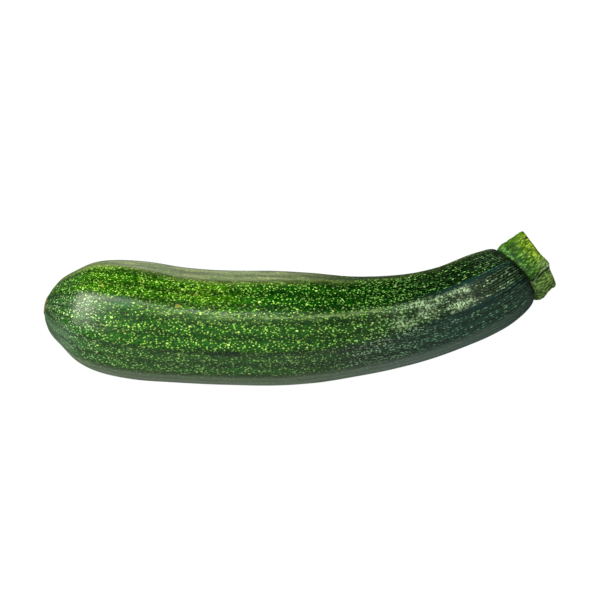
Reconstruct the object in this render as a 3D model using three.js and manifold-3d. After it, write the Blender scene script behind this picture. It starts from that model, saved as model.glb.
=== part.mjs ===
// A courgette lying on its side: one ridged fruit, and the cut stub of the stem that it grew on.
// Millimetres, +Z up. The blossom end points to -X and the stem to +X, and both ends bend towards +Y.
// The origin is on the table, under the middle of the whole. The fruit touches the table at three
// small flats: near the blossom end, under the belly and at the neck.
import * as THREE from "three";
import Module from "manifold-3d";
import { mergeVertices } from "three/addons/utils/BufferGeometryUtils.js";

// Driving dimensions, in millimetres and degrees
const FRUIT_LENGTH = 189.4; // along the axis, from the blossom scar to the stem's foot
const BELLY_RADIUS = 23.5; // fullest section, over the ridges
const NECK_RADIUS = 16.9; // narrowest section, just before the shoulder
const SHOULDER_RADIUS = 13.2; // where the stem stands
const SCAR_RADIUS = 4; // where the flower dropped off
const STUB_LENGTH = 11.8; // stem left on the fruit
const STUB_RADIUS = 13; // over the stem's ribs
const JOIN_GAP = 0.3; // between the fruit and the stem's foot

// The bend, seen from above: both ends turn towards +Y, and the stem goes on straight.
const BEND = {
  blossomAngle: 12.7,
  blossomReach: 84.5, // how far from the blossom end that turn goes on
  stemAngle: 36,
  stemFrom: 76, // where the turn towards the stem starts
  sharpness: 1.88, // above 1, most of that turn is near the stem
};

const END_SKEW = { angle: 5.5, from: 160 }; // the stem's foot isn't quite square to the axis

// Where the fruit touches the table
const REST = {
  first: 38, // distance from the blossom end to the first flat
  apart: 63, // from one flat to the next
  depth: 0.16, // how much each is flattened
  arch: 0.25, // clear height between them
};

// Ridges, as angles in degrees round the section: 0 faces -Y and 90 is up. Strong ones run on into the
// stem's ribs, and weak ones lie between them. Each wanders a little between its three angles.
const RIDGES = [
  { blossom: 17.5, middle: 17.5, stem: 25, strong: false },
  { blossom: 54, middle: 50, stem: 63, strong: true },
  { blossom: 98, middle: 86.5, stem: 99, strong: false },
  { blossom: 135, middle: 123, stem: 150, strong: true },
  { blossom: 163, middle: 158, stem: 179, strong: false },
  { blossom: 192, middle: 191, stem: 207, strong: true },
  { blossom: 222, middle: 221, stem: 234, strong: false },
  { blossom: 252, middle: 251, stem: 263, strong: true },
  { blossom: 289, middle: 289, stem: 296, strong: false },
  { blossom: 332, middle: 332, stem: 338, strong: true },
];
// Distances from the blossom end between which the ridges come to their middle angles, and leave them
const COURSE = { from: 8, middle: 62, leave: 78, stem: 185 };
const WEAK_RIDGE = 0.985; // height of a weak ridge against a strong one
const FACET_FLATNESS = 0.7; // 0 leaves the section round, 1 makes its facets flat

// The blossom end is leaner on one side: where, how wide and long, and how much
const LEAN_SIDE = { angle: -22, width: 42, along: 8.5, length: 7, depth: 1.4 };

// The stem's section: angle in degrees, with the radius as a share of the whole. Five ribs have nearly
// flat sides between them, and a furrow runs under the rib that shows most.
const STUB_OUTLINE = [
  [12, 0.89],
  [32, 0.86],
  [46, 0.86],
  [52, 0.965],
  [61, 1],
  [71, 0.965],
  [86, 0.895],
  [104, 0.87],
  [122, 0.9],
  [135, 1],
  [143, 1.04],
  [152, 1],
  [173, 0.92],
  [194, 0.93],
  [205, 0.98],
  [216, 0.93],
  [234, 0.88],
  [252, 0.95],
  [262, 1],
  [272, 0.95],
  [296, 0.87],
  [318, 0.94],
  [332, 1.05],
  [348, 0.97],
];
const FOOT_WAIST = { share: 0.06, height: 0.9 }; // the stub is a little narrower just over the fruit
const CUT_SLANT = { side: 0.18, top: 0.18 }; // the cut isn't square: shorter on the -Y side and on top
const LONG_RIB = { over: 0.8, centre: 61, width: 13 }; // the rib that the cut left longest
const CUT_DISH = 0.9; // depth of the hollow in the cut face

// Mesh density
const PROFILE_STEPS = 72; // rings along the fruit
const FACET_STEPS = 5; // vertices across each facet
const STUB_HEIGHTS = [0, 0.05, 0.12, 0.25, 0.45, 0.68, 0.88, 0.97, 1]; // of the stub's rings, as a share
const OUTLINE_STEPS = 5; // vertices to each point of the stem's section

const radians = THREE.MathUtils.degToRad;
const mix = THREE.MathUtils.lerp;
const smooth = THREE.MathUtils.smoothstep;

// Distance from the blossom end against radius: a dished scar, a blunt end, the belly, the neck, and
// the shoulder that the stem stands on.
const PROFILE = [
  [0.7, 0],
  [0.6, 0.45 * SCAR_RADIUS],
  [0.05, 0.8 * SCAR_RADIUS],
  [0.3, SCAR_RADIUS],
  [1.8, 0.315 * BELLY_RADIUS],
  [4.8, 0.508 * BELLY_RADIUS],
  [9.5, 0.676 * BELLY_RADIUS],
  [16, 0.855 * BELLY_RADIUS],
  [25, 0.96 * BELLY_RADIUS],
  [38, BELLY_RADIUS],
  [54, 0.975 * BELLY_RADIUS],
  [72, 0.966 * BELLY_RADIUS],
  [90, 0.965 * BELLY_RADIUS],
  [106, 0.923 * BELLY_RADIUS],
  [120, 0.849 * BELLY_RADIUS],
  [134, 0.796 * BELLY_RADIUS],
  [148, 0.751 * BELLY_RADIUS],
  [160, NECK_RADIUS],
  [170, 0.99 * NECK_RADIUS],
  [177, 0.965 * NECK_RADIUS],
  [182.5, 0.91 * NECK_RADIUS],
  [186.5, 0.85 * NECK_RADIUS],
  [FRUIT_LENGTH - 0.8, SHOULDER_RADIUS],
  [FRUIT_LENGTH, 0.82 * SHOULDER_RADIUS],
  [FRUIT_LENGTH, 0.4 * SHOULDER_RADIUS],
  [FRUIT_LENGTH, 0],
];

const profilePoints = PROFILE.map(([along, radius]) => new THREE.Vector2(along, radius));
const outline = new THREE.SplineCurve(profilePoints).getPoints(PROFILE_STEPS);

// The fruit's radius at a distance from the blossom end, over the ridges.
function radiusAt(along) {
  const next = Math.max(1, outline.findIndex((spot) => spot.x > along && spot.y > SCAR_RADIUS));
  const [a, b] = [outline[next - 1], outline[next]];
  return mix(a.y, b.y, (along - a.x) / (b.x - a.x));
}

// Which way the axis heads, seen from above, in radians from +X towards +Y.
function heading(along) {
  const { blossomAngle, blossomReach, stemAngle, stemFrom, sharpness } = BEND;
  const before = Math.max(0, 1 - along / blossomReach);
  const after = THREE.MathUtils.clamp((along - stemFrom) / (FRUIT_LENGTH - stemFrom), 0, 1);
  return radians(stemAngle * after ** sharpness - blossomAngle * before);
}

// The ridges' angles, in degrees, at a distance from the blossom end.
function ridgesAt(along) {
  const early = 1 - smooth(along, COURSE.from, COURSE.middle);
  const late = smooth(along, COURSE.leave, COURSE.stem);
  return RIDGES.map(({ blossom, middle, stem }) => {
    return middle + (blossom - middle) * early + (stem - middle) * late;
  });
}

// How flat the facets are: not at all on the scar, and most near the stem.
function flatnessAt(along) {
  const nearStem = smooth(along, 0.7 * FRUIT_LENGTH, FRUIT_LENGTH);
  return FACET_FLATNESS * smooth(along, 1, 30) * (1 + 0.2 * nearStem);
}

// The section at a distance from the blossom end, as angles in radians with radii as a share of the
// whole: facets that meet at the ridges.
function fruitSection(along) {
  const ridges = ridgesAt(along);
  const flatness = flatnessAt(along);
  return ridges.flatMap((from, index) => {
    const next = (index + 1) % ridges.length;
    const to = ridges[next] + (next === 0 ? 360 : 0);
    const [height, nextHeight] = [index, next].map((i) => (RIDGES[i].strong ? 1 : WEAK_RIDGE));
    return Array.from({ length: FACET_STEPS }, (_, k) => {
      const step = k / FACET_STEPS;
      const angle = mix(from, to, step);
      const polygon = Math.cos(radians((to - from) / 2)) / Math.cos(radians(angle - (from + to) / 2));
      const share = 1 - flatness * (1 - polygon * mix(height, nextHeight, step));
      return { angle: radians(angle), share };
    });
  });
}

// How high the axis is over the table. The underside touches at three places and arches between them.
function axisHeight(along) {
  const held = THREE.MathUtils.clamp(along, REST.first, REST.first + 2 * REST.apart);
  const reach = Math.max(...fruitSection(held).map(({ angle, share }) => -share * Math.sin(angle)));
  const arch = Math.sin((Math.PI * (held - REST.first)) / REST.apart) ** 2;
  return radiusAt(held) * reach - REST.depth + (REST.depth + REST.arch) * arch;
}

// The axis seen from above, summed in short steps from the blossom end.
const AXIS_STEP = 0.5;
const axisPlan = [new THREE.Vector2(0, 0)];
for (let along = 0; along < FRUIT_LENGTH + 2 * STUB_LENGTH; along += AXIS_STEP) {
  const turn = heading(along + AXIS_STEP / 2);
  const step = new THREE.Vector2(Math.cos(turn), Math.sin(turn)).multiplyScalar(AXIS_STEP);
  axisPlan.push(axisPlan.at(-1).clone().add(step));
}

// A point of a section: at a distance along the axis, an angle round it and a radius from it.
function pointAt(along, angle, radius) {
  const step = Math.floor(along / AXIS_STEP);
  const plan = axisPlan[step].clone().lerp(axisPlan[step + 1], along / AXIS_STEP - step);
  const turn = heading(along) + radians(END_SKEW.angle) * smooth(along, END_SKEW.from, FRUIT_LENGTH);
  const aside = radius * Math.cos(angle);
  return new THREE.Vector3(
    plan.x + aside * Math.sin(turn),
    plan.y - aside * Math.cos(turn),
    axisHeight(along) + radius * Math.sin(angle)
  );
}

// A closed skin over rings of points, with a single point at each end.
function skinOf(rings, first, last) {
  const count = rings[0].length;
  const points = [first, ...rings.flat(), last];
  const at = (ring, k) => 1 + ring * count + (k % count);
  const index = [];
  for (let k = 0; k < count; k++) {
    index.push(0, at(0, k), at(0, k + 1));
    index.push(at(rings.length - 1, k + 1), at(rings.length - 1, k), points.length - 1);
    for (let ring = 0; ring + 1 < rings.length; ring++) {
      index.push(at(ring, k + 1), at(ring, k), at(ring + 1, k));
      index.push(at(ring + 1, k + 1), at(ring, k + 1), at(ring + 1, k));
    }
  }
  return new THREE.BufferGeometry().setFromPoints(points).setIndex(index);
}

// How much the lean side takes off the radius.
function leanAt(along, angle) {
  const turned = THREE.MathUtils.radToDeg(angle) - LEAN_SIDE.angle;
  const aside = (THREE.MathUtils.euclideanModulo(turned + 180, 360) - 180) / LEAN_SIDE.width;
  const away = (along - LEAN_SIDE.along) / LEAN_SIDE.length;
  return LEAN_SIDE.depth * Math.exp(-(aside ** 2) - away ** 2);
}

function fruitGeometry() {
  const rings = outline.slice(1, -1).map(({ x: along, y: radius }) => {
    return fruitSection(along).map(({ angle, share }) => {
      const lean = radius > SCAR_RADIUS ? leanAt(along, angle) : 0;
      return pointAt(along, angle, radius * share - lean);
    });
  });
  return skinOf(rings, pointAt(outline[0].x, 0, 0), pointAt(FRUIT_LENGTH, 0, 0));
}

// The stem's section as a closed curve, at a radius of 1.
const stubPoints = STUB_OUTLINE.map(([degrees, share]) => {
  return new THREE.Vector3(share * Math.cos(radians(degrees)), share * Math.sin(radians(degrees)), 0);
});
const stubSection = new THREE.CatmullRomCurve3(stubPoints, true, "catmullrom")
  .getPoints(OUTLINE_STEPS * STUB_OUTLINE.length)
  .slice(0, -1)
  .map(({ x, y }) => ({ angle: Math.atan2(y, x), share: Math.hypot(x, y) }));

// A ring of the stem: at a share of its length, as wide as a share of its section, and sunk by a depth.
function stubRing(level, width, sunk) {
  return stubSection.map(({ angle, share }) => {
    const slant = CUT_SLANT.side * Math.cos(angle) + CUT_SLANT.top * Math.sin(angle);
    const fromRib = THREE.MathUtils.radToDeg(angle) - LONG_RIB.centre;
    const over = LONG_RIB.over * Math.exp(-((fromRib / LONG_RIB.width) ** 2));
    const height = level * (STUB_LENGTH * (1 - slant * share * width) + over * width) - sunk;
    const waist = 1 - FOOT_WAIST.share * Math.exp(-((height / FOOT_WAIST.height) ** 2));
    return pointAt(FRUIT_LENGTH + JOIN_GAP + height, angle, STUB_RADIUS * share * width * waist);
  });
}

function stemGeometry() {
  const sides = STUB_HEIGHTS.map((level) => stubRing(level, level === 1 ? 0.98 : 1, 0));
  const face = [stubRing(1, 0.9, 0.25 * CUT_DISH), stubRing(1, 0.5, 0.8 * CUT_DISH)];
  const foot = FRUIT_LENGTH + JOIN_GAP;
  return skinOf([...sides, ...face], pointAt(foot, 0, 0), pointAt(foot + STUB_LENGTH - CUT_DISH, 0, 0));
}

const wasm = await Module();
wasm.setup();

function solidOf(geometry) {
  const bare = geometry.clone();
  bare.deleteAttribute("normal");
  bare.deleteAttribute("uv");
  const merged = mergeVertices(bare, 1e-4);
  const mesh = new wasm.Mesh({
    numProp: 3,
    vertProperties: merged.attributes.position.array,
    triVerts: new Uint32Array(merged.index.array),
  });
  return new wasm.Manifold(mesh);
}

function geometryOf(solid) {
  const { vertProperties, triVerts } = solid.getMesh();
  const geometry = new THREE.BufferGeometry();
  geometry.setAttribute("position", new THREE.BufferAttribute(vertProperties, 3));
  geometry.setIndex(new THREE.BufferAttribute(triVerts, 1));
  geometry.computeVertexNormals();
  return geometry;
}

// What would be below the table is cut away, which leaves the flats that the fruit rests on.
function flattened(geometry) {
  const size = 3 * FRUIT_LENGTH;
  const table = new THREE.BoxGeometry(size, size, BELLY_RADIUS).translate(0, 0, -BELLY_RADIUS / 2);
  return geometryOf(solidOf(geometry).subtract(solidOf(table)));
}

const skinGreen = new THREE.MeshStandardMaterial({ color: 0x2c5c1c, roughness: 0.36, metalness: 0 });
const stemGreen = new THREE.MeshStandardMaterial({ color: 0x5f8a2a, roughness: 0.6, metalness: 0 });

const fruit = new THREE.Mesh(flattened(fruitGeometry()), skinGreen);
fruit.name = "fruit";
const stem = new THREE.Mesh(stemGeometry(), stemGreen);
stem.name = "stem";

const courgette = new THREE.Group();
courgette.add(fruit, stem);
const middle = new THREE.Box3().setFromObject(courgette, true).getCenter(new THREE.Vector3());
courgette.position.set(-middle.x, -middle.y, 0);

export default courgette;
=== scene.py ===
import math

import bpy
import numpy as np
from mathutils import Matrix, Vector, noise


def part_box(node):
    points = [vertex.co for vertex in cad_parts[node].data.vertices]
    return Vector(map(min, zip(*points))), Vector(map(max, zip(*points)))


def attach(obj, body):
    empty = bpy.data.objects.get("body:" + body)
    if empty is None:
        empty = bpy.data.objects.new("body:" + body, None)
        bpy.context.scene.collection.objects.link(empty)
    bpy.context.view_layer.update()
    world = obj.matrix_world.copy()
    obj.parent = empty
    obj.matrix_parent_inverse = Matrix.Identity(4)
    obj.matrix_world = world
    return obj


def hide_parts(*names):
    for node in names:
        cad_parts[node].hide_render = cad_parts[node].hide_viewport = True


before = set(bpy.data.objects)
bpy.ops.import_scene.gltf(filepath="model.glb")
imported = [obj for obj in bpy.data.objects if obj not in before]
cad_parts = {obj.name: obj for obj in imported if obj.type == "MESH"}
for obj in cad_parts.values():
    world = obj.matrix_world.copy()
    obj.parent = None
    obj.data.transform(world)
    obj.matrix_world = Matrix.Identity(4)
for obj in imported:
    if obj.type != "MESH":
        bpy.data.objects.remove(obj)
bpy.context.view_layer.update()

MM = 0.001

# The courgette's driving dimensions
FRUIT_LENGTH = 189.4
BELLY_RADIUS = 23.5
NECK_RADIUS = 16.9
SHOULDER_RADIUS = 13.2
SCAR_RADIUS = 4.0
STUB_LENGTH = 11.8
STUB_RADIUS = 13.0
BEND = {
    "blossom_angle": 12.7,
    "blossom_reach": 84.5,
    "stem_angle": 36.0,
    "stem_from": 76.0,
    "sharpness": 1.88,
}
END_SKEW = {"angle": 5.5, "from": 160.0}
REST = {"first": 38.0, "apart": 63.0, "depth": 0.16, "arch": 0.25}
# Ridges: angles at the blossom end, in the middle and at the stem, and whether it is a strong one
RIDGES = [
    (17.5, 17.5, 25, False),
    (54, 50, 63, True),
    (98, 86.5, 99, False),
    (135, 123, 150, True),
    (163, 158, 179, False),
    (192, 191, 207, True),
    (222, 221, 234, False),
    (252, 251, 263, True),
    (289, 289, 296, False),
    (332, 332, 338, True),
]
COURSE = {"from": 8, "middle": 62, "leave": 78, "stem": 185}
WEAK_RIDGE = 0.985
# The front side is a little hollow near the blossom end, just below its middle
LEAN_SIDE = {"angle": -22, "width": 42, "along": 8.5, "length": 7, "depth": 1.4}
FACET_FLATNESS = 0.7
# The stem's section: angle, and the radius as a share of the whole
STUB_OUTLINE = [
    (12, 0.89), (32, 0.86), (46, 0.86), (52, 0.965), (61, 1.0), (71, 0.965), (86, 0.895), (104, 0.87),
    (122, 0.9), (135, 1.0), (143, 1.04), (152, 1.0), (173, 0.92), (194, 0.93), (205, 0.98), (216, 0.93),
    (234, 0.88), (252, 0.95), (262, 1.0), (272, 0.95), (296, 0.87), (318, 0.94), (332, 1.05), (348, 0.97),
]
FOOT_WAIST = {"share": 0.06, "height": 0.9}
CUT_SLANT = {"side": 0.18, "top": 0.18}
LONG_RIB = {"over": 0.8, "centre": 61.0, "width": 13.0}
CUT_DISH = 0.9
# How much of that depth the cut has, from its middle to its rim
DISH_CURVE = ((0, 0.5, 0.9, 0.98), (1, 0.8, 0.25, 0))
# Distance along the axis against the radius over the ridges
PROFILE = [
    (0.7, 0.0),
    (0.6, 0.45 * SCAR_RADIUS),
    (0.05, 0.8 * SCAR_RADIUS),
    (0.3, SCAR_RADIUS),
    (1.8, 0.315 * BELLY_RADIUS),
    (4.8, 0.508 * BELLY_RADIUS),
    (9.5, 0.676 * BELLY_RADIUS),
    (16.0, 0.855 * BELLY_RADIUS),
    (25.0, 0.96 * BELLY_RADIUS),
    (38.0, BELLY_RADIUS),
    (54.0, 0.975 * BELLY_RADIUS),
    (72.0, 0.966 * BELLY_RADIUS),
    (90.0, 0.965 * BELLY_RADIUS),
    (106.0, 0.923 * BELLY_RADIUS),
    (120.0, 0.849 * BELLY_RADIUS),
    (134.0, 0.796 * BELLY_RADIUS),
    (148.0, 0.751 * BELLY_RADIUS),
    (160.0, NECK_RADIUS),
    (170.0, 0.99 * NECK_RADIUS),
    (177.0, 0.965 * NECK_RADIUS),
    (182.5, 0.91 * NECK_RADIUS),
    (186.5, 0.85 * NECK_RADIUS),
    (FRUIT_LENGTH - 0.8, SHOULDER_RADIUS),
    (FRUIT_LENGTH, 0.82 * SHOULDER_RADIUS),
    (FRUIT_LENGTH, 0.4 * SHOULDER_RADIUS),
    (FRUIT_LENGTH, 0.0),
]

# How fine the curves and the dressed meshes are. SOLID_FACET_STEPS is for the axis' height.
OUTLINE_STEPS = 40
PLAN_STEP = 0.25
SOLID_FACET_STEPS = 5
RING_STEP = 0.4
FACET_STEPS = 16
ROUNDING = 3
STUB_RINGS = 80
STUB_STEPS = 16
# The rings over the cut, from its rim inwards as shares of the stem's radius
FACE = {"rings": 30, "rim": 0.965, "hub": 0.06}
# The stem gets narrower just under the cut, and stands a little off the fruit
CUT_RIM = {"depth": 0.02, "from": 0.93}
STUB_GAP = 0.1

# Relief on the skin, in millimetres. along is under 1 for forms drawn out along the axis. BODY says where
# the crests and lumps come in, and how near the stem they fade.
BODY = {"from": 6, "full": 30, "end": 4}
CREST = {"height": 0.3, "width": 2.4}
LUMPS = {"height": 0.22, "size": 17.0, "along": 0.5}
RIPPLE = {"height": 0.05, "size": 4.5, "along": 0.4}
BRUISE_DEPTH = 0.12
WANDER_SIZE = 6.0
END_FOLDS = {
    "depth": 1.1,
    "from": 0.8,
    "fades": 2.0,
    "to": 14.0,
    "width": 0.8,
    "widens": 0.09,
    "wander": 0.6,
}
END_CREASES = {"depth": 0.16, "count": 23, "fades": 1.0, "to": 9.0, "wander": 2, "shade": 0.6}
SHOULDER_FOLDS = {"depth": 0.22, "count": 34, "length": 7.0, "full": 1.5, "wander": 1.4}
RIND_BUMPS = {"height": 0.34, "size": 0.85, "along": 0.45, "slope": (0.1, 0.72)}
RIND_WANDER = {"share": 0.35, "size": 2.0}
# The stem's bumps and furrow begin over this stretch of its foot
FOOT_FADE = (0.1, 0.9)
STUB_LUMPS = {"height": 0.3, "size": 5.0}
CUT_SAG = {"depth": 0.16, "size": 1.6}
FURROW = {"foot": 45.0, "cut": 53.0, "width": 4.0, "depth": 0.6}
# The stem swells towards the fruit on its lower side
FOOT_FLARE = {"height": 1.0, "angle": -22.0, "width": 24.0, "at": 3.0, "length": 3.0}
# Where the furrow's dark line, painted shade and dirt in the groove, and the pale fibre beside it run:
# heights on the stem, and angles
GROOVE_PATH = ((3.7, 5.8, 7.2), (42.3, 45.3, 47.6))
GROOVE_WIDTH = 2.6
FIBRE_PATH = ((0.9, 2.6, 4.5, 6.4, 8.4), (37.0, 43.0, 53.0, 55.0, 57.0))
FIBRE_WIDTH = 2.2
# The painted highlight strip on the front rib over the furrow, and the olive side under it: angles from the
# furrow and round the stem
WORN = {"beside": 15.0, "width": 7.0, "from": 0.2, "to": 0.7}
OLIVE = {"furrow": (-6, 2), "lowest": (-36, -24)}
# A dark speck by the cut: its height on the stem, angle, and half its length and width
SPECK = (10.9, 127.0, 0.6, 0.6)

# The facets between the ridges, from the one that starts at the first ridge. slate is how blue-grey its
# skin is by the stem, pale how much grey-green bloom and dust it has, with a painted reflection along
# the far and lower edges, and flecks how many flecks show.
FACETS = [
    {"slate": 0.9, "pale": 0.08, "flecks": 0.9},
    {"slate": 0.2, "pale": 0.04, "flecks": 1.0},
    {"slate": 0.0, "pale": 0.0, "flecks": 1.0},
    {"slate": 0.1, "pale": 0.85, "flecks": 0.7},
    {"slate": 0.5, "pale": 0.3, "flecks": 0.8},
    {"slate": 0.1, "pale": 0.05, "flecks": 1.0},
    {"slate": 0.3, "pale": 0.2, "flecks": 0.9},
    {"slate": 0.4, "pale": 0.35, "flecks": 0.7},
    {"slate": 0.5, "pale": 0.2, "flecks": 0.7},
    {"slate": 0.6, "pale": 0.42, "flecks": 0.6},
]
# The facet that shows as a pale strip along the far edge, partly bloom and partly a painted reflection,
# and where that paleness ends
FAR_FACET = 3
FAR_BLOOM_ENDS = (95, 128)
# The ridges with a plain band towards the stem, and the facets that have the wax, partly a painted sheen,
# and the streak, a painted highlight. The edges of the wax and the streak's place are shares of the way
# across a facet.
BANDED = [1, 2, 5, 7, 9]
WAX_FACETS = [1, 6]
# The wax patches: partly the skin's own wax, partly a painted sheen of the light on it
WAX = {"from": 126, "to": 152, "fades": 165, "ends": 168}
WAX_EDGES = ((0.06, 0.2), (0.9, 1))
# A painted highlight: a pale streak along the facet where the key light's reflection runs
STREAK = {"at": 0.87, "width": 0.075, "from": 28, "full": 60, "to": 138}
# Marks on the skin: distance from the blossom end, angle, and half its length and width
BRUISES = [
    (23.3, 105.0, 0.8, 0.9),
    (37.5, 115.5, 0.6, 0.6),
    (53.6, 91.5, 1.3, 0.9),
    (60.0, 106.0, 0.8, 0.6),
    (84.0, 214.0, 1.0, 0.8),
    (122.0, 301.0, 1.4, 0.7),
    (45.0, 262.0, 0.7, 0.9),
    (149.0, 188.0, 1.2, 0.6),
    (97.0, 340.0, 0.6, 0.6),
]
# Painted shade of creases by the blossom scar: dark lines in colour only, with no relief of their own
TIP_CREASES = [
    (8.0, 78.7, 2.4, 0.5),
    (12.0, 83.0, 2.4, 0.5),
    (4.8, 53.5, 2.8, 0.8),
    (5.5, 63.5, 1.8, 0.5),
]
# Plain slate-green patches, with few flecks. The first, near the tip, is a painted reflection of the left
# light.
CALM_PATCHES = [(32.0, 89.5, 6.0, 2.4), (96.0, 246.0, 9.0, 2.2)]
SMUDGES = [
    (73.0, 47.5, 6.0, 1.5),
    (69.0, 46.5, 3.2, 1.0),
    (28.8, 140.0, 0.6, 0.5),
    (112.0, 236.0, 4.6, 0.6),
    (58.0, 318.0, 3.2, 0.6),
]
# How many rows of fine dashes go round the section at each end, and where the number changes
ROWS_AT_END = 58
ROWS_AT_STEM = 88
ROWS_CHANGE = (60, 61)
# The upward facet that is painted a brighter green as lit, and the tip's facets with greyer flecks and with
# greyish skin, both a painted reflection of the light
SUNNY = {"facet": 2, "from": 6, "full": 18, "fades": 62, "ends": 92, "rounding": 6}
GREYED = {"facets": [0, 1, 9], "from": 14, "to": 34}
ASHY = {"facets": [0, 9], "from": 8, "to": 22}
# The side where the bloom is cool and clean; there it also carries a painted reflection along the lower
# front edge. It is dusty elsewhere.
COOL_SIDE = {"angle": -10, "width": 50}


def smooth(x, low, high):
    share = np.clip((x - low) / (high - low), 0, 1)
    return share * share * (3 - 2 * share)


def bell(x, width):
    return np.exp(-((x / width) ** 2))


def turned(angle, other):
    """How far round an angle is from the other one, from -180 to 180."""
    return (angle - other + 180) % 360 - 180


def on_table(points):
    """The points, with none of them below the table."""
    points[..., 2] = np.maximum(points[..., 2], 0)
    return points


def spline(points, steps, closed=False):
    """A uniform Catmull-Rom curve through the points, with that many steps to each stretch."""
    points = np.array(points, float)
    count = len(points)
    stretches = count if closed else count - 1
    where = np.arange(stretches * steps + (0 if closed else 1)) / steps
    index = np.minimum(where.astype(int), stretches - 1)
    share = (where - index)[:, None]
    if closed:
        p0, p1, p2, p3 = (points[(index + k) % count] for k in (-1, 0, 1, 2))
    else:
        p0, p1, p2, p3 = (points[np.clip(index + k, 0, count - 1)] for k in (-1, 0, 1, 2))
    v1, v2 = (p2 - p0) / 2, (p3 - p1) / 2
    return (2 * (p1 - p2) + v1 + v2) * share**3 + (3 * (p2 - p1) - 2 * v1 - v2) * share**2 + v1 * share + p1


outline = spline(PROFILE, OUTLINE_STEPS)
# The part from the scar's edge to the shoulder, where the radius has one value for each distance
flank = outline[outline[:, 1] > SCAR_RADIUS]
flank = flank[flank[:, 0] < FRUIT_LENGTH - 0.9]


def heading(along):
    before = np.maximum(0, 1 - along / BEND["blossom_reach"])
    after = np.clip((along - BEND["stem_from"]) / (FRUIT_LENGTH - BEND["stem_from"]), 0, 1)
    return np.radians(BEND["stem_angle"] * after ** BEND["sharpness"] - BEND["blossom_angle"] * before)


def ridges_at(along):
    """The ridges' angles at each distance, one row a distance, with the first one repeated a turn later."""
    along = np.asarray(along, float)[..., None]
    early = 1 - smooth(along, COURSE["from"], COURSE["middle"])
    late = smooth(along, COURSE["leave"], COURSE["stem"])
    blossom, middle, stem = (np.array([ridge[i] for ridge in RIDGES], float) for i in range(3))
    angles = middle + (blossom - middle) * early + (stem - middle) * late
    return np.concatenate([angles, angles[..., :1] + 360], axis=-1)


def section_at(along, steps):
    """Angles in degrees and radii as a share of the whole, for each distance along the axis."""
    ridges = ridges_at(along)
    near_stem = smooth(along, 0.7 * FRUIT_LENGTH, FRUIT_LENGTH)
    flatness = (FACET_FLATNESS * smooth(along, 1, 30) * (1 + 0.2 * near_stem))[..., None, None]
    height = np.array([1 if strong else WEAK_RIDGE for *_, strong in RIDGES + RIDGES[:1]])
    share = np.arange(steps) / steps
    low, high = ridges[..., :-1, None], ridges[..., 1:, None]
    angle = low + (high - low) * share
    polygon = np.cos(np.radians((high - low) / 2)) / np.cos(np.radians(angle - (low + high) / 2))
    crest = height[:-1, None] + (height[1:] - height[:-1])[:, None] * share
    radius = 1 - flatness * (1 - polygon * crest)
    flat = (*angle.shape[:-2], -1)
    return angle.reshape(flat), radius.reshape(flat)


def axis_height(along):
    held = np.clip(along, REST["first"], REST["first"] + 2 * REST["apart"])
    angle, share = section_at(held, SOLID_FACET_STEPS)
    reach = np.max(-share * np.sin(np.radians(angle)), axis=-1)
    arch = np.sin(np.pi * (held - REST["first"]) / REST["apart"]) ** 2
    radius = np.interp(held, flank[:, 0], flank[:, 1])
    return radius * reach - REST["depth"] + (REST["depth"] + REST["arch"]) * arch


plan_along = np.arange(0, FRUIT_LENGTH + 2 * STUB_LENGTH, PLAN_STEP)
plan_turn = heading(plan_along + PLAN_STEP / 2)
plan_x = np.concatenate([[0], np.cumsum(PLAN_STEP * np.cos(plan_turn))])
plan_y = np.concatenate([[0], np.cumsum(PLAN_STEP * np.sin(plan_turn))])
plan_along = np.append(plan_along, plan_along[-1] + PLAN_STEP)


def place(along, angle, radius):
    """Points of sections, from arrays of distances, angles in degrees and radii that match in shape."""
    turn = heading(along) + np.radians(END_SKEW["angle"]) * smooth(along, END_SKEW["from"], FRUIT_LENGTH)
    aside = radius * np.cos(np.radians(angle))
    x = np.interp(along, plan_along, plan_x) + aside * np.sin(turn)
    y = np.interp(along, plan_along, plan_y) - aside * np.cos(turn)
    return np.stack([x, y, axis_height(along) + radius * np.sin(np.radians(angle))], axis=-1)


def noise_over(points, size, seed, detail=1):
    """Smooth noise from about -1 to 1, with features of that size in millimetres."""
    shift = Vector((13.7 * seed, 5.1 * seed, 9.3 * seed))
    flat = [noise.fractal(Vector(p) / size + shift, 1.0, 2.0, detail) for p in points.reshape(-1, 3)]
    return np.array(flat).reshape(points.shape[:-1])


def around(rows, times):
    """Rings smoothed a little round the section, so that creases have a radius."""
    for _ in range(times):
        rows = (np.roll(rows, 1, axis=1) + 2 * rows + np.roll(rows, -1, axis=1)) / 4
    return rows


def marks_at(marks, along, angle, radius):
    """How deep in one of the marks each point is, from 0 to 1."""
    inside = np.zeros(along.shape)
    for at, centre, half_length, half_width in marks:
        aside = np.radians(turned(angle, centre)) * radius
        inside = np.maximum(inside, np.exp(-(((along - at) / half_length) ** 2) - (aside / half_width) ** 2))
    return inside


def facet_values(key, shape):
    """A value of each facet at every point, with soft changes at the ridges."""
    row = np.repeat([[facet[key] for facet in FACETS]], FACET_STEPS, axis=1)
    return np.broadcast_to(around(row, ROUNDING), shape)


def on_facets(numbers, shape, rounding=ROUNDING):
    """1 on those facets and 0 on the others, with soft changes at the ridges."""
    facet = np.arange(shape[1]) // FACET_STEPS
    return around(np.isin(facet, numbers) * np.ones(shape), rounding)


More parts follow.
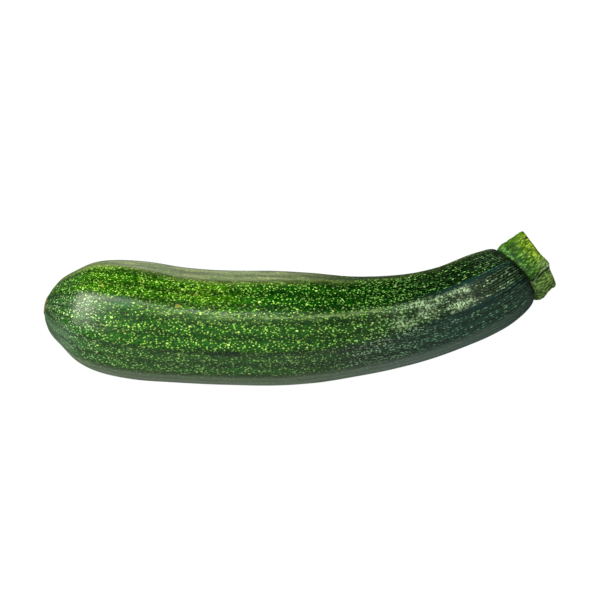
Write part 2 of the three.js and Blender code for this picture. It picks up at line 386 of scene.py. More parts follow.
def skin_of(rings, first, last):
    """Vertices and faces of a closed skin: a point, rings of points and a last point."""
    count = rings.shape[1]
    points = np.concatenate([[first], rings.reshape(-1, 3), [last]])
    grid = 1 + np.arange(rings.shape[0] * count).reshape(rings.shape[0], count)
    after = np.roll(grid, -1, axis=1)
    quads = np.stack([after[:-1], grid[:-1], grid[1:], after[1:]], axis=-1).reshape(-1, 4)
    caps = [(0, int(a), int(b)) for a, b in zip(grid[0], after[0])]
    caps += [(int(b), int(a), len(points) - 1) for a, b in zip(grid[-1], after[-1])]
    return points, [tuple(quad) for quad in quads.tolist()] + caps


def add_values(mesh, name, values):
    """Stores one value or vector for each vertex."""
    values = np.asarray(values, np.float32)
    kind, field = ("FLOAT_VECTOR", "vector") if values.ndim == 2 else ("FLOAT", "value")
    mesh.attributes.new(name, kind, "POINT").data.foreach_set(field, values.ravel())


def piece_of(name, rings, first, last, values, material):
    """A smooth mesh piece. values holds, by name, what each vertex carries, with the two end points' own."""
    points, faces = skin_of(rings, first, last)
    mesh = bpy.data.meshes.new(name)
    mesh.from_pydata((points * MM).tolist(), [], faces)
    mesh.shade_smooth()
    for key, (grid, first_value, last_value) in values.items():
        grid = np.asarray(grid)
        flat = grid.reshape(-1, 3) if grid.ndim == 3 else grid.ravel()
        add_values(mesh, key, np.concatenate([[first_value], flat, [last_value]]))
    piece = bpy.data.objects.new(name, mesh)
    bpy.context.scene.collection.objects.link(piece)
    mesh.materials.append(material)
    return piece


def skin_relief(straight, along, angle, base, arc, bruise):
    """Height of the skin's crests, lumps, folds and scabs, and how much painted shade each point gets in the
    end's folds and creases.
    """
    strong = np.array([ridge[-1] for ridge in RIDGES])
    to_strong = arc[:, :, strong].min(axis=-1)
    body = smooth(along, BODY["from"], BODY["full"])
    body = body * (1 - smooth(along, FRUIT_LENGTH - BODY["end"], FRUIT_LENGTH))
    relief = CREST["height"] * bell(to_strong, CREST["width"]) * body
    relief += LUMPS["height"] * noise_over(straight * (LUMPS["along"], 1, 1), LUMPS["size"], 1) * body
    relief += RIPPLE["height"] * noise_over(straight * (RIPPLE["along"], 1, 1), RIPPLE["size"], 2, 2) * body

    turn = np.radians(angle)
    wander = noise_over(straight, WANDER_SIZE, 3)
    on_end = smooth(along, 0.2, END_FOLDS["from"]) * (base > 1.05 * SCAR_RADIUS)
    fold_width = END_FOLDS["width"] + END_FOLDS["widens"] * along
    folds = bell(arc.min(axis=-1) + END_FOLDS["wander"] * np.abs(wander), fold_width)
    folds = folds * (1 - smooth(along, END_FOLDS["fades"], END_FOLDS["to"]))
    rays = 0.5 + 0.5 * np.cos(END_CREASES["count"] * turn + END_CREASES["wander"] * wander)
    rays_fade = 1 - smooth(along, END_CREASES["fades"], END_CREASES["to"])
    relief -= on_end * END_FOLDS["depth"] * folds
    relief -= on_end * END_CREASES["depth"] * rays**2 * rays_fade
    stretch = (FRUIT_LENGTH - SHOULDER_FOLDS["length"], FRUIT_LENGTH - SHOULDER_FOLDS["full"])
    shoulder = smooth(along, *stretch)
    shoulder = shoulder * (base > 0.7 * SHOULDER_RADIUS)
    pleats = 0.5 + 0.5 * np.cos(SHOULDER_FOLDS["count"] * turn + SHOULDER_FOLDS["wander"] * wander)
    relief -= SHOULDER_FOLDS["depth"] * shoulder * pleats
    relief -= BRUISE_DEPTH * bruise
    # Painted shade: crease lines by the scar, in colour only
    tip_creases = marks_at(TIP_CREASES, along, angle, base)
    return relief, on_end * np.maximum.reduce([folds, END_CREASES["shade"] * rays**2, tip_creases])


def skin_values(along, angle, base):
    """What the colours need to know of each point of the skin, by name."""
    shape = angle.shape
    on_waxy = np.isin(np.arange(shape[1]) // FACET_STEPS, WAX_FACETS)
    across = (np.arange(shape[1]) % FACET_STEPS) / FACET_STEPS
    # Wax patches, partly the skin's own wax and partly painted sheen
    wax = on_waxy * smooth(across, *WAX_EDGES[0]) * (1 - smooth(across, *WAX_EDGES[1]))
    wax = wax * smooth(along, WAX["from"], WAX["to"]) * (1 - smooth(along, WAX["fades"], WAX["ends"]))
    # The painted highlight streak, near one edge of the facet
    streak = on_waxy * bell(across - STREAK["at"], STREAK["width"])
    streak = streak * smooth(along, STREAK["from"], STREAK["full"])
    streak = streak * (1 - smooth(along, WAX["from"], STREAK["to"]))
    # The upward facet painted lighter, as where the light falls
    sunny = on_facets([SUNNY["facet"]], shape, SUNNY["rounding"])
    sunny = sunny * smooth(along, SUNNY["from"], SUNNY["full"])
    sunny = sunny * (1 - smooth(along, SUNNY["fades"], SUNNY["ends"]))
    far_fade = 1 - on_facets([FAR_FACET], shape) * smooth(along, *FAR_BLOOM_ENDS)
    return {
        "from_axis": base,
        "wax": wax,
        "streak": streak,
        "sunny": sunny,
        "smudge": marks_at(SMUDGES, along, angle, base),
        "calm": marks_at(CALM_PATCHES, along, angle, base),
        # Greyer flecks and greyish skin at the tip: a painted reflection of the light there
        "greyed": on_facets(GREYED["facets"], shape) * (1 - smooth(along, GREYED["from"], GREYED["to"])),
        "ashy": on_facets(ASHY["facets"], shape) * (1 - smooth(along, ASHY["from"], ASHY["to"])),
        "cool": bell(turned(angle, COOL_SIDE["angle"]), COOL_SIDE["width"]),
        "slate": facet_values("slate", shape),
        "pale": facet_values("pale", shape) * far_fade,
        "flecks": facet_values("flecks", shape),
    }


def fruit_rings():
    """Rings of the skin, its end points, what its vertices carry, and the rings without their relief."""
    steps = np.linalg.norm(np.diff(outline, axis=0), axis=1)
    length = np.concatenate([[0], np.cumsum(steps)])
    wanted = np.linspace(0, length[-1], int(length[-1] / RING_STEP))[1:-1]
    along, radius = (np.interp(wanted, length, outline[:, i]) for i in (0, 1))
    angle, share = section_at(along, FACET_STEPS)
    base = radius[:, None] * around(share, ROUNDING)
    along = np.broadcast_to(along[:, None], angle.shape)
    lean = bell(turned(angle, LEAN_SIDE["angle"]), LEAN_SIDE["width"])
    lean = lean * bell(along - LEAN_SIDE["along"], LEAN_SIDE["length"])
    base = base - LEAN_SIDE["depth"] * lean * (radius > SCAR_RADIUS)[:, None]

    ridges = ridges_at(along[:, 0])[:, None, :-1]
    arc = np.radians(np.abs(turned(angle[:, :, None], ridges))) * radius[:, None, None]
    turn = np.radians(angle)
    straight = np.stack([along, base * np.cos(turn), base * np.sin(turn)], axis=-1)
    bruise = marks_at(BRUISES, along, angle, base)
    relief, creases = skin_relief(straight, along, angle, base, arc, bruise)
    carried = skin_values(along, angle, base)
    carried.update(to_band=arc[:, :, BANDED].min(axis=-1), bruise=bruise, creases=creases)
    values = {name: (grid, 0, 0) for name, grid in carried.items()}
    values["straight"] = (straight, (0, 0, 0), (FRUIT_LENGTH, 0, 0))
    ends = place(np.array([outline[0, 0], FRUIT_LENGTH]), np.zeros(2), np.zeros(2))
    return on_table(place(along, angle, base + relief)), ends, values, on_table(place(along, angle, base))


def rind_bumps(straight):
    """How far each point of the stem stands up, from 0 between the bumps to 1 on top of one."""
    stretch = np.array([RIND_BUMPS["along"], 1, 1]) / RIND_BUMPS["size"]
    wander = RIND_WANDER["share"] * noise_over(straight, RIND_WANDER["size"], 6)[..., None]
    flat = [noise.voronoi(Vector(p))[0][0] for p in (straight * stretch + wander).reshape(-1, 3)]
    return 1 - smooth(np.array(flat).reshape(straight.shape[:-1]), *RIND_BUMPS["slope"])


def stem_grid():
    """Rings up the stem's side and in over its cut: heights, angles, radii, shares, and 1 for the side."""
    corners = [(s * math.cos(math.radians(a)), s * math.sin(math.radians(a))) for a, s in STUB_OUTLINE]
    section = spline(corners, STUB_STEPS, closed=True)
    angle = np.degrees(np.arctan2(section[:, 1], section[:, 0]))
    share = np.hypot(section[:, 0], section[:, 1])
    turn = np.radians(angle)
    slant = CUT_SLANT["side"] * np.cos(turn) + CUT_SLANT["top"] * np.sin(turn)
    over = LONG_RIB["over"] * bell(angle - LONG_RIB["centre"], LONG_RIB["width"])

    def ring(level, width, sunk):
        height = level * (STUB_LENGTH * (1 - slant * share * width) + over * width) - sunk
        waist = 1 - FOOT_WAIST["share"] * bell(height, FOOT_WAIST["height"])
        return height, STUB_RADIUS * share * width * waist

    levels = np.linspace(0, 1, STUB_RINGS)
    widths = np.linspace(FACE["rim"], FACE["hub"], FACE["rings"])
    rings = [ring(level, 1 - CUT_RIM["depth"] * smooth(level, CUT_RIM["from"], 1), 0) for level in levels]
    rings += [ring(1, width, CUT_DISH * float(np.interp(width, *DISH_CURVE))) for width in widths]
    height, radius = (np.array([row[i] for row in rings]) for i in (0, 1))
    on_side = (np.arange(len(height)) < STUB_RINGS)[:, None] * np.ones(height.shape)
    return height, np.broadcast_to(angle, height.shape), radius, share, on_side


def stem_rings():
    """Rings of the stem with their relief, its end points, and what its vertices carry."""
    height, angle, radius, share, on_side = stem_grid()
    turn = np.radians(angle)
    straight = np.stack([height, radius * np.cos(turn), radius * np.sin(turn)], axis=-1)
    bumps = rind_bumps(straight)
    fade = smooth(height, *FOOT_FADE) * on_side
    from_furrow = angle - FURROW["foot"] - (FURROW["cut"] - FURROW["foot"]) * height / STUB_LENGTH
    flare = bell(angle - FOOT_FLARE["angle"], FOOT_FLARE["width"])
    flare = flare * bell(height - FOOT_FLARE["at"], FOOT_FLARE["length"])
    relief = RIND_BUMPS["height"] * (bumps - 0.5) * fade
    relief += STUB_LUMPS["height"] * noise_over(straight, STUB_LUMPS["size"], 4, 2) * on_side
    relief += FOOT_FLARE["height"] * flare * on_side
    relief -= FURROW["depth"] * bell(from_furrow, FURROW["width"]) * fade
    sag = CUT_SAG["depth"] * noise_over(straight, CUT_SAG["size"], 5, 2) * (1 - on_side)

    foot = FRUIT_LENGTH + STUB_GAP
    points = place(foot + height + sag, angle, radius + relief)
    ends = place(np.array([foot, foot + STUB_LENGTH - CUT_DISH]), np.zeros(2), np.zeros(2))
    # The front rib's painted highlight strip
    worn = bell(from_furrow - WORN["beside"], WORN["width"])
    values = {
        "straight": (straight, (0, 0, 0), (STUB_LENGTH, 0, 0)),
        "bumps": (bumps, 0, 0),
        "cut": (1 - on_side, 0, 1),
        "level": (height / STUB_LENGTH, 0, 1),
        "across": (radius / STUB_RADIUS / share, 0, 0),
        "rib": (np.broadcast_to(share, height.shape), 0, 0),
        "furrow": (bell(angle - np.interp(height, *GROOVE_PATH), GROOVE_WIDTH) * fade, 0, 0),
        "fibre": (bell(angle - np.interp(height, *FIBRE_PATH), FIBRE_WIDTH) * fade, 0, 0),
        "olive": ((1 - smooth(from_furrow, *OLIVE["furrow"])) * smooth(angle, *OLIVE["lowest"]), 0, 0),
        "worn": (worn * smooth(height / STUB_LENGTH, WORN["from"], WORN["to"]), 0, 0),
        "speck": (marks_at([SPECK], height, angle, radius), 0, 0),
    }
    return points, ends, values


# How strong the fine relief and the gloss of the skin and the stem are
BUMP_STRENGTH = 0.5
SKIN_SPECULAR = 0.3


class Nodes:
    """A short way to write a material's nodes: each call adds one and returns its output."""

    def __init__(self, name):
        self.material = bpy.data.materials.new(name)
        self.material.use_nodes = True
        self.tree = self.material.node_tree
        self.tree.nodes.clear()

    def add(self, kind, inputs=None, output=0, **settings):
        node = self.tree.nodes.new(kind)
        for key, value in settings.items():
            setattr(node, key, value)
        for key, value in (inputs or {}).items():
            self.put(node.inputs[key], value)
        return node.outputs[output]

    def put(self, socket, value):
        if isinstance(value, bpy.types.NodeSocket):
            self.tree.links.new(value, socket)
        else:
            socket.default_value = value

    def attribute(self, name, vector=False):
        return self.add("ShaderNodeAttribute", attribute_name=name, output="Vector" if vector else "Fac")

    def math(self, operation, a, b=0.0, clamp=False):
        return self.add("ShaderNodeMath", {0: a, 1: b}, operation=operation, use_clamp=clamp)

    def times(self, a, b):
        return self.math("MULTIPLY", a, b)

    def plus(self, a, b):
        return self.math("ADD", a, b)

    def most(self, a, b):
        return self.math("MAXIMUM", a, b)

    def fade(self, value, low, high, to_low=0.0, to_high=1.0):
        inputs = {"Value": value, "From Min": low, "From Max": high, "To Min": to_low, "To Max": to_high}
        return self.add("ShaderNodeMapRange", inputs, interpolation_type="SMOOTHSTEP")

    def scaled(self, vector, scale):
        return self.add("ShaderNodeVectorMath", {0: vector, 1: scale}, operation="MULTIPLY")

    def noise(self, vector, scale, detail=2.0, rough=0.5):
        inputs = {"Vector": vector, "Scale": scale, "Detail": detail, "Roughness": rough}
        return self.add("ShaderNodeTexNoise", inputs)

    def streaky(self, vector, along, scale, detail=2.0, rough=0.5):
        """Noise drawn out along the fruit."""
        return self.noise(self.scaled(vector, (along, 1, 1)), scale, detail, rough)

    def cells(self, vector, scale, output="Distance"):
        return self.add("ShaderNodeTexVoronoi", {"Vector": vector, "Scale": scale}, output=output)

    def dots(self, vector, along, scale, full, gone, strength):
        """Separate dots drawn out along the fruit, with the radii at which they are full and gone."""
        return self.fade(self.cells(self.scaled(vector, (along, 1, 1)), scale), full, gone, strength, 0)

    def mix(self, share, a, b):
        node = self.tree.nodes.new("ShaderNodeMix")
        node.data_type = "RGBA"
        for socket, value in ((node.inputs[0], share), (node.inputs[6], a), (node.inputs[7], b)):
            self.put(socket, value)
        return node.outputs[2]

    def finish(self, color, roughness, height=None, specular=0.5):
        """The shader. height is in millimetres."""
        shader = self.tree.nodes.new("ShaderNodeBsdfPrincipled")
        self.put(shader.inputs["Base Color"], color)
        self.put(shader.inputs["Roughness"], roughness)
        shader.inputs["Specular IOR Level"].default_value = specular
        if height is not None:
            inputs = {"Strength": BUMP_STRENGTH, "Distance": MM, "Height": height}
            self.put(shader.inputs["Normal"], self.add("ShaderNodeBump", inputs))
        end = self.tree.nodes.new("ShaderNodeOutputMaterial")
        self.tree.links.new(shader.outputs[0], end.inputs[0])
        return self.material


def srgb(red, green, blue):
    """A colour as seen on screen, as the linear values that nodes take."""
    shares = [c / 255 for c in (red, green, blue)]
    linear = [c / 12.92 if c <= 0.04045 else ((c + 0.055) / 1.055) ** 2.4 for c in shares]
    return (*linear, 1.0)


def palette(**colors):
    """Colours by name, from red, green and blue as seen on screen, from 0 to 255."""
    return {name: srgb(*color) for name, color in colors.items()}


# Stretches of the fruit over which its look changes, as distances from the blossom end
ALONG = {
    "to_stem": (70, 172),
    "slate": (105, 170),
    "bands": (134, 166),
    "spots": (128, 165),
    "dashes": (104, 142),
    "large": (120, 170),
    "shoulder": (FRUIT_LENGTH - 4.5, FRUIT_LENGTH - 1),
    "stem_rows": (FRUIT_LENGTH - 20, FRUIT_LENGTH - 8),
    "tip_rows": (5, 22),
    "tip": (4, 15),
    "scar": (8, 12),
}
SCAR_EDGE = (SCAR_RADIUS + 0.2, SCAR_RADIUS + 1.6)

SKIN = palette(
    deep=(0, 34, 0),
    deep_by_stem=(0, 3, 0),
    mid=(20, 98, 0),
    mid_by_stem=(0, 30, 0),
    # painted light: the brighter green of the upward facet
    sunny=(98, 150, 8),
    slate=(0, 46, 38),
    dust=(80, 108, 36),
    pale_dust=(146, 154, 96),
    # cool bloom colours, which also carry the painted reflection along the lower front edge
    bloom=(122, 170, 100),
    bloom_by_stem=(108, 170, 138),
    band=(20, 50, 50),
    fleck=(160, 206, 90),
    fleck_by_stem=(140, 210, 112),
    # greyer flecks at the tip, a painted reflection
    greyed_fleck=(176, 202, 152),
    pale_fleck=(180, 212, 176),
    slate_fleck=(136, 200, 158),
    large_fleck=(196, 226, 118),
    large_fleck_by_stem=(196, 222, 164),
    # colour of the calm patches, the first one a painted reflection
    calm=(28, 86, 48),
    # colour of the painted highlight streak
    streak=(124, 150, 98),
    # colour of the wax patches, partly wax and partly painted sheen
    wax=(182, 214, 170),
    raised=(112, 144, 112),
    line=(2, 12, 4),
    # greyish skin at the tip, a painted reflection
    ash=(84, 110, 92),
    shoulder=(4, 16, 8),
    # painted shade in the creases
    crease=(2, 22, 2),
    tip=(10, 40, 4),
    smudge=(2, 26, 10),
    scab=(104, 118, 30),
    pale_scab=(168, 152, 74),
    cork=(66, 48, 22),
    pale_cork=(150, 118, 66),
)
RIND = palette(
    # valley, slope and top: painted shade between the stem's bumps and painted highlight on their tops
    valley=(16, 56, 0),
    valley_by_cut=(60, 92, 0),
    slope=(40, 94, 6),
    slope_by_cut=(112, 140, 0),
    top=(112, 162, 70),
    top_by_cut=(170, 190, 60),
    rib=(52, 98, 8),
    olive=(54, 102, 22),
    pale_olive=(164, 208, 108),
    # the front rib's painted highlight
    worn=(112, 140, 84),
    # the furrow's painted shade and dirt
    groove=(16, 54, 6),
    fibre=(168, 194, 146),
    speck=(14, 12, 6),
    pith=(150, 172, 100),
    pale_pith=(206, 214, 160),
    face_edge=(96, 136, 40),
)


def base_skin(n, straight, to_stem, slaty, mottle):
    """The skin without its flecks: mottled green, painted light on the upward facet, slate, or pale by the
    facet with dust, a waxy coat and a painted reflection.
    """
    patch = n.streaky(straight, 0.35, 0.08, 3.0, 0.55)
    deep = n.mix(to_stem, SKIN["deep"], SKIN["deep_by_stem"])
    mid = n.mix(to_stem, SKIN["mid"], SKIN["mid_by_stem"])
    # Painted light: the upward facet near the tip is painted a brighter yellow-green, as where the light
    # falls
    sunny = n.times(n.attribute("sunny"), n.fade(patch, 0.35, 0.65, 0.35, 1))
    mid = n.mix(n.times(sunny, 0.6), mid, SKIN["sunny"])
    skin = n.mix(n.fade(mottle, 0.36, 0.66), deep, mid)
    skin = n.mix(slaty, skin, SKIN["slate"])

    # Pale grey-green by the facet: bloom and dust, with a painted reflection on the far and lower edges
    paled = n.times(n.attribute("pale"), n.fade(mottle, 0.3, 0.6, 0.8, 1))
    dusty = n.streaky(straight, 0.16, 0.7, 4.0, 0.7)
    dusty = n.mix(n.fade(dusty, 0.35, 0.65), SKIN["dust"], SKIN["pale_dust"])
    cool = n.mix(to_stem, SKIN["bloom"], SKIN["bloom_by_stem"])
    return n.mix(paled, skin, n.mix(n.attribute("cool"), dusty, cool))


def row_wave(n, straight, along):
    """A wave round the section, with a row of dashes on each crest."""
    turn = n.math("ARCTAN2", along.node.outputs[2], along.node.outputs[1])
    count = n.fade(along, *ROWS_CHANGE, ROWS_AT_END, ROWS_AT_STEM)
    weave = n.times(n.streaky(straight, 0.3, 0.14), 14.0)
    return n.math("COSINE", n.plus(n.times(turn, count), weave))


def small_flecks(n, straight, along, slaty, wave):
    """Fine and middling flecks, and rows of dashes that take their place towards the stem."""
    fine = n.dots(straight, 0.7, 1.25, 0.2, 0.35, 0.8)
    middling = n.dots(straight, 0.75, 0.8, 0.16, 0.27, 1.1)
    dashes = n.dots(straight, 0.42, 1.0, 0.16, 0.28, 1.1)
    finer_dashes = n.dots(straight, 0.4, 1.55, 0.22, 0.34, 0.45)
    finer_dashes = n.times(finer_dashes, n.fade(slaty, 0.1, 0.8, 1.3, 2.4))
    spots = n.times(n.most(fine, middling), n.fade(along, *ALONG["spots"], 1, 0.1))
    rows = n.times(n.most(dashes, finer_dashes), n.fade(along, *ALONG["dashes"]))
    return n.most(spots, n.times(rows, n.fade(wave, -0.4, 0.3, 0.05, 1)))


def large_flecks(n, straight, along):
    """Large flecks of different sizes, fainter towards the stem."""
    where = n.scaled(straight, (0.68, 1, 1))
    chance = n.add("ShaderNodeSeparateColor", {0: n.cells(where, 0.4, output="Color")})
    size = n.fade(chance, 0.0, 1.0, 0.02, 0.13)
    inside = n.fade(n.math("SUBTRACT", n.cells(where, 0.4), size), -0.02, 0.05, 1, 0)
    return n.times(inside, n.fade(along, *ALONG["large"], 1, 0.5))


def flecked(n, skin, straight, along, to_stem, slaty, shoulder, small):
    """The skin with its flecks. The bands on the ridges and the shoulder have none."""
    band = n.times(n.fade(n.attribute("to_band"), 0.7, 1.8, 0.8, 0), n.fade(along, *ALONG["bands"]))
    skin = n.mix(band, skin, SKIN["band"])
    keep = n.times(n.attribute("flecks"), n.math("SUBTRACT", 1.0, n.most(band, shoulder)))
    clumps = n.fade(n.noise(straight, 0.45), 0.3, 0.62, 0.65, 1.0)

    fleck = n.mix(to_stem, SKIN["fleck"], SKIN["fleck_by_stem"])
    # greyer flecks at the tip, painted as under the light's reflection
    fleck = n.mix(n.attribute("greyed"), fleck, SKIN["greyed_fleck"])
    fleck = n.mix(n.fade(slaty, 0.05, 0.25), fleck, SKIN["pale_fleck"])
    fleck = n.mix(n.fade(slaty, 0.15, 0.7), fleck, SKIN["slate_fleck"])
    color = n.mix(n.times(small, n.times(keep, clumps)), skin, fleck)
    bright = n.mix(to_stem, SKIN["large_fleck"], SKIN["large_fleck_by_stem"])
    return n.mix(n.times(large_flecks(n, straight, along), keep), color, bright)


def lined_ends(n, color, along, wave, grit, streaks, slaty):
    """Raised rows at both ends with dark lines between them, and the tip's facets greyed by a painted
    reflection.
    """
    near_stem = n.fade(along, *ALONG["stem_rows"])
    near_end = n.most(near_stem, n.fade(along, *ALONG["tip_rows"], 0.6, 0))
    raised = n.times(n.fade(wave, 0.3, 0.9, 0, 0.6), n.fade(grit, 0.5, 0.9))
    color = n.mix(n.times(near_end, raised), color, SKIN["raised"])
    lines = n.times(n.fade(wave, -0.7, 0.0, 0.75, 0), near_end)
    lines = n.times(lines, n.fade(slaty, 0.3, 0.9, 1, 0.3))
    lines = n.times(lines, n.fade(streaks, 0.35, 0.6, 1, 0.4))
    color = n.mix(lines, color, SKIN["line"])
    # The tip's lower facets greyed by a painted reflection
    return n.mix(n.times(n.attribute("ashy"), 0.5), color, SKIN["ash"])


def marked(n, color, straight):
    """The skin with its dark smudges and its scabs, both with ragged edges."""
    ragged = n.fade(n.noise(straight, 1.5, 3.0, 0.7), 0.3, 0.6, 0.4, 1.3)
    smudge = n.math("MULTIPLY", n.attribute("smudge"), ragged, clamp=True)
    color = n.mix(n.times(smudge, 0.97), color, SKIN["smudge"])
    bruise = n.fade(n.times(n.attribute("bruise"), ragged), 0.25, 0.7)
    scab = n.mix(n.noise(straight, 0.8), SKIN["scab"], SKIN["pale_scab"])
    return n.mix(n.times(bruise, 0.78), color, scab)


def skin_material():
    """Dark green skin with flecks of several sizes, rows of dashes, waxy patches, marks and a corky scar,
    and painted sheen, highlights, reflections and shade.
    """
    n = Nodes("courgette_skin")
    straight = n.attribute("straight", vector=True)
    along = n.add("ShaderNodeSeparateXYZ", {0: straight})
    to_stem = n.fade(along, *ALONG["to_stem"])
    slaty = n.times(n.attribute("slate"), n.fade(along, *ALONG["slate"], 0.12, 1))
    shoulder = n.fade(along, *ALONG["shoulder"])
    mottle = n.streaky(straight, 0.6, 1.5, 3.0, 0.65)
    streaks = n.streaky(straight, 0.12, 0.9)
    grit = n.fade(n.streaky(straight, 0.5, 1.3, 2.0, 0.6), 0.38, 0.6, 0.25, 1)
    wave = row_wave(n, straight, along)
    small = small_flecks(n, straight, along, slaty, wave)

    color = base_skin(n, straight, to_stem, slaty, mottle)
    color = flecked(n, color, straight, along, to_stem, slaty, shoulder, small)
    # The first calm patch is a painted reflection of the left light near the tip
    calm = n.times(n.attribute("calm"), n.fade(mottle, 0.3, 0.6, 0.5, 1.2))
    color = n.mix(n.fade(calm, 0.2, 0.8, 0, 0.65), color, SKIN["calm"])
    # Painted highlight: the pale streak where the key light reflects along the facet
    streak = n.times(n.attribute("streak"), n.times(grit, n.fade(streaks, 0.38, 0.6, 0.1, 1)))
    color = n.mix(streak, color, SKIN["streak"])
    # Pale wax patches: partly the skin's own wax, partly painted sheen of the light
    blotch = n.fade(n.streaky(straight, 0.6, 0.19, 4.0, 0.62), 0.42, 0.6)
    speckle = n.fade(n.noise(straight, 1.4, 2.0, 0.6), 0.45, 0.58, 0.05, 1)
    wax = n.times(n.times(blotch, speckle), n.attribute("wax"))
    color = n.mix(n.times(wax, 0.95), color, SKIN["wax"])

    color = lined_ends(n, color, along, wave, grit, streaks, slaty)
    color = n.mix(n.times(shoulder, 0.7), color, SKIN["shoulder"])
    # Painted shade in the folds and creases at the blossom end
    color = n.mix(n.times(n.attribute("creases"), 0.95), color, SKIN["crease"])
    color = n.mix(n.fade(along, *ALONG["tip"], 0.25, 0), color, SKIN["tip"])
    color = marked(n, color, straight)
    near_axis = n.fade(n.attribute("from_axis"), *SCAR_EDGE, 1, 0)
    at_scar = n.times(near_axis, n.fade(along, *ALONG["scar"], 1, 0))
    cork = n.mix(n.noise(straight, 1.6, 4.0, 0.7), SKIN["cork"], SKIN["pale_cork"])
    color = n.mix(at_scar, color, cork)

    rough = n.plus(n.fade(streaks, 0.35, 0.62, 0.36, 0.26), n.times(wax, 0.2))
    rough = n.plus(rough, n.times(at_scar, 0.4))
    height = n.plus(n.times(small, 0.03), n.times(mottle, 0.1))
    return n.finish(color, rough, height, SKIN_SPECULAR)


def rind_material():
    """The stem: green rind with bumps painted pale on top and dark between as lit and shaded, yellower
    towards the cut, and a pale fibrous cut face.
    """
    n = Nodes("courgette_stem")
    straight = n.attribute("straight", vector=True)
    names = ("bumps", "level", "cut", "across", "rib")
    bumps, level, cut, across, rib = (n.attribute(name) for name in names)
    spots = n.noise(straight, 0.35, 3.0, 0.6)
    ticks = n.streaky(straight, 0.45, 1.5, 3.0, 0.65)
    yellowing = n.times(n.fade(level, 0.15, 0.9), n.fade(spots, 0.3, 0.6, 0.6, 1))
    valley = n.mix(yellowing, RIND["valley"], RIND["valley_by_cut"])
    slope = n.mix(yellowing, RIND["slope"], RIND["slope_by_cut"])
    top = n.mix(yellowing, RIND["top"], RIND["top_by_cut"])
    # Painted light on the bumps: dark valleys as shade, pale tops as highlight
    lift = n.plus(n.times(bumps, 0.75), n.times(n.fade(ticks, 0.3, 0.7), 0.35))
    rind = n.mix(n.fade(lift, 0.2, 0.5), valley, slope)
    rind = n.mix(n.fade(lift, 0.6, 0.95, 0, 0.85), rind, top)
    rind = n.mix(n.fade(rib, 0.95, 1.03, 0, 0.5), rind, RIND["rib"])
    olive = n.mix(n.fade(lift, 0.1, 0.7), RIND["olive"], RIND["pale_olive"])
    rind = n.mix(n.times(n.attribute("olive"), 0.75), rind, olive)
    # Painted highlight: a pale strip along the front rib's crest, by the furrow
    frayed = n.times(n.attribute("worn"), n.fade(ticks, 0.35, 0.6, 0.3, 0.8))
    rind = n.mix(frayed, rind, RIND["worn"])
    # Painted shade and dirt along the furrow's dark line
    rind = n.mix(n.times(n.attribute("furrow"), 0.8), rind, RIND["groove"])
    fibre = n.times(n.attribute("fibre"), n.fade(ticks, 0.3, 0.6, 0.6, 1))
    rind = n.mix(fibre, rind, RIND["fibre"])
    rind = n.mix(n.fade(n.attribute("speck"), 0.3, 0.6), rind, RIND["speck"])

    grain = n.streaky(straight, 0.3, 1.4, 4.0, 0.65)
    pith = n.mix(grain, RIND["pith"], RIND["pale_pith"])
    face = n.mix(n.fade(across, 0.8, 0.93), pith, RIND["face_edge"])
    height = n.plus(n.times(grain, 0.15), n.times(ticks, 0.2))
    return n.finish(n.mix(cut, rind, face), n.fade(lift, 0.2, 1.0, 0.6, 0.42), height, SKIN_SPECULAR)


# The table's size in metres, its colour, and how bright it looks
FLOOR_SIZE = 8.0
FLOOR_COLOR = (0.03, 0.03, 0.03, 1)
FLOOR_GLOW = 0.99
# How strongly it lights the vegetable. CLOSE_GLOW is in front and behind, and the other two are added to
# it, in a part behind and far in front. GLOW_EDGES are where those parts begin and end, in metres.
BEHIND_GLOW = 0.65
FAR_GLOW = 0.45
CLOSE_GLOW = (0.3, 0.05)
GLOW_EDGES = {
    "left": (-0.1, -0.06),
    "right": (-0.02, 0.02),
    "behind": (0.0, 0.03),
    "far": (-0.2, -0.07),
    "close": (-0.03, 0.0),
}


def floor_material():
    """A pale table. Its paleness in the picture doesn't light the vegetable: that has a glow of its own.

    A part behind the vegetable is bright and shows in its skin. In front the table is dim close by and
    brighter far off.
    """
    n = Nodes("pale_table")
    place_x = n.add("ShaderNodeSeparateXYZ", {0: n.add("ShaderNodeNewGeometry", output="Position")})
    place_y = place_x.node.outputs[1]
    beside = n.times(n.fade(place_x, *GLOW_EDGES["left"]), n.fade(place_x, *GLOW_EDGES["right"], 1, 0))
    behind = n.times(n.fade(place_y, *GLOW_EDGES["behind"]), beside)
    far_off = n.fade(place_y, *GLOW_EDGES["far"], 1, 0)
    far_glow = n.most(n.times(behind, BEHIND_GLOW), n.times(far_off, FAR_GLOW))
    near_glow = n.plus(n.fade(place_y, *GLOW_EDGES["close"], *CLOSE_GLOW), far_glow)
    seen = n.add("ShaderNodeLightPath", output="Is Camera Ray")
    glow = n.add("ShaderNodeMapRange", {"Value": seen, "To Min": near_glow, "To Max": FLOOR_GLOW})
    material = n.finish(FLOOR_COLOR, 0.9)
    shader = n.tree.nodes["Principled BSDF"]
    shader.inputs["Emission Color"].default_value = (1, 1, 1, 1)
    n.put(shader.inputs["Emission Strength"], glow)
    return material


def make_floor():
    mesh = bpy.data.meshes.new("table")
    half = FLOOR_SIZE / 2
    corners = [(-half, -half, 0), (half, -half, 0), (half, half, 0), (-half, half, 0)]
    mesh.from_pydata(corners, [], [(0, 1, 2, 3)])
    floor = bpy.data.objects.new("table", mesh)
    bpy.context.scene.collection.objects.link(floor)
    mesh.materials.append(floor_material())


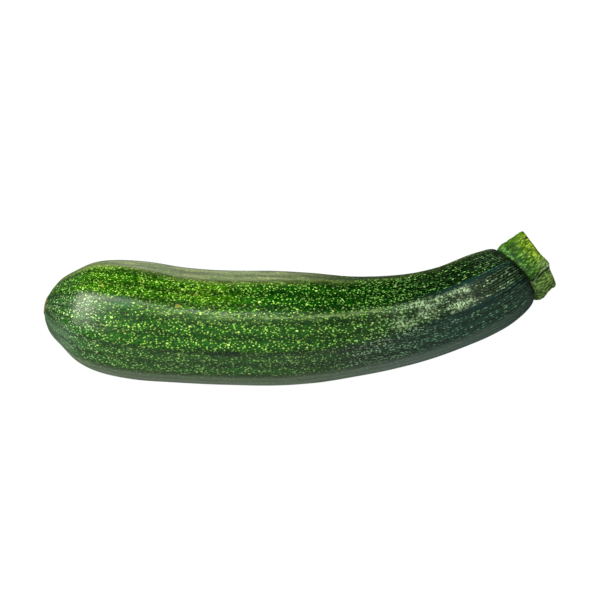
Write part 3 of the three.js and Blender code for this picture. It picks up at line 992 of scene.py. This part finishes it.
# Lights: name, direction as an azimuth from -Y towards +X and an elevation, distance, shift along X
# and size in metres, power in watts and colour
LIGHTS = [
    ("key_strip", 180, 79, 0.8, -0.3, (0.9, 0.2), 5.5, (1.0, 1.0, 0.88)),
    ("left_softbox", -98, 41, 0.7, 0.0, (0.42, 0.42), 6.8, (1.0, 1.0, 0.84)),
]
ROOM = {"front": 0.5, "back": 0.015, "lowest": 0.45, "full": 0.9, "elevation": 40.0}


def make_lights():
    for name, azimuth, elevation, distance, aside, size, power, color in LIGHTS:
        data = bpy.data.lights.new(name, "AREA")
        data.shape = "RECTANGLE"
        data.size, data.size_y = size
        data.energy = power
        data.color = color
        light = bpy.data.objects.new(name, data)
        bpy.context.scene.collection.objects.link(light)
        a, e = math.radians(azimuth), math.radians(elevation)
        away = Vector((math.sin(a) * math.cos(e), -math.cos(a) * math.cos(e), math.sin(e)))
        light.location = away * distance + Vector((aside, 0, 0.02))
        light.rotation_mode = "QUATERNION"
        light.rotation_quaternion = away.to_track_quat("Z", "Y")


def make_room():
    """The room's own soft light: pale in front and overhead, dark behind."""
    world = bpy.data.worlds.new("studio")
    world.use_nodes = True
    tree = world.node_tree
    direction = tree.nodes.new("ShaderNodeTexCoord").outputs["Generated"]
    towards = tree.nodes.new("ShaderNodeVectorMath")
    towards.operation = "DOT_PRODUCT"
    e = math.radians(ROOM["elevation"])
    towards.inputs[1].default_value = (0, -math.cos(e), math.sin(e))
    tree.links.new(direction, towards.inputs[0])
    ramp = tree.nodes.new("ShaderNodeMapRange")
    ramp.interpolation_type = "SMOOTHSTEP"
    sockets = {"From Min": "lowest", "From Max": "full", "To Min": "back", "To Max": "front"}
    for key, value in sockets.items():
        ramp.inputs[key].default_value = ROOM[value]
    tree.links.new(towards.outputs["Value"], ramp.inputs["Value"])
    seen = tree.nodes.new("ShaderNodeLightPath").outputs["Is Camera Ray"]
    strength = tree.nodes.new("ShaderNodeMapRange")
    tree.links.new(seen, strength.inputs["Value"])
    tree.links.new(ramp.outputs[0], strength.inputs["To Min"])
    strength.inputs["To Max"].default_value = FLOOR_GLOW
    tree.links.new(strength.outputs[0], tree.nodes["Background"].inputs["Strength"])
    tree.nodes["Background"].inputs["Color"].default_value = (1, 1, 1, 1)
    bpy.context.scene.world = world


# The camera looks down at the photograph's angle. AIM is the point at the picture's middle, in metres:
# a point inside the vegetable, and a shift from there up the picture.
VIEW_ELEVATION = 72.0
VIEW_DISTANCE = 0.785
LENS = 120.0
SENSOR = 36.0
PICTURE_UP = Vector((0, math.sin(math.radians(VIEW_ELEVATION)), math.cos(math.radians(VIEW_ELEVATION))))
AIM = Vector((-0.001, 0, 0.018)) + 0.0028 * PICTURE_UP


def make_camera():
    data = bpy.data.cameras.new("camera")
    data.lens = LENS
    data.sensor_width = SENSOR
    camera = bpy.data.objects.new("camera", data)
    bpy.context.scene.collection.objects.link(camera)
    e = math.radians(VIEW_ELEVATION)
    back = Vector((0, -math.cos(e), math.sin(e)))
    camera.location = AIM + back * VIEW_DISTANCE
    camera.rotation_mode = "QUATERNION"
    camera.rotation_quaternion = back.to_track_quat("Z", "Y")
    bpy.context.scene.camera = camera


make_camera()
make_floor()
make_lights()
make_room()
bpy.context.scene.view_settings.view_transform = "Standard"

fruit_points, fruit_ends, fruit_values, plain = fruit_rings()
low, high = (np.array(corner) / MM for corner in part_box("fruit"))
shift = (low + high) / 2 - (plain.reshape(-1, 3).min(axis=0) + plain.reshape(-1, 3).max(axis=0)) / 2
shift[2] = 0
skin = piece_of("fruit_skin", fruit_points + shift, *(fruit_ends + shift), fruit_values, skin_material())
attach(skin, "root")
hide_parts("fruit")

stem_points, stem_ends, stem_values = stem_rings()
rind = piece_of("stem_rind", stem_points + shift, *(stem_ends + shift), stem_values, rind_material())
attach(rind, "root")
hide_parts("stem")
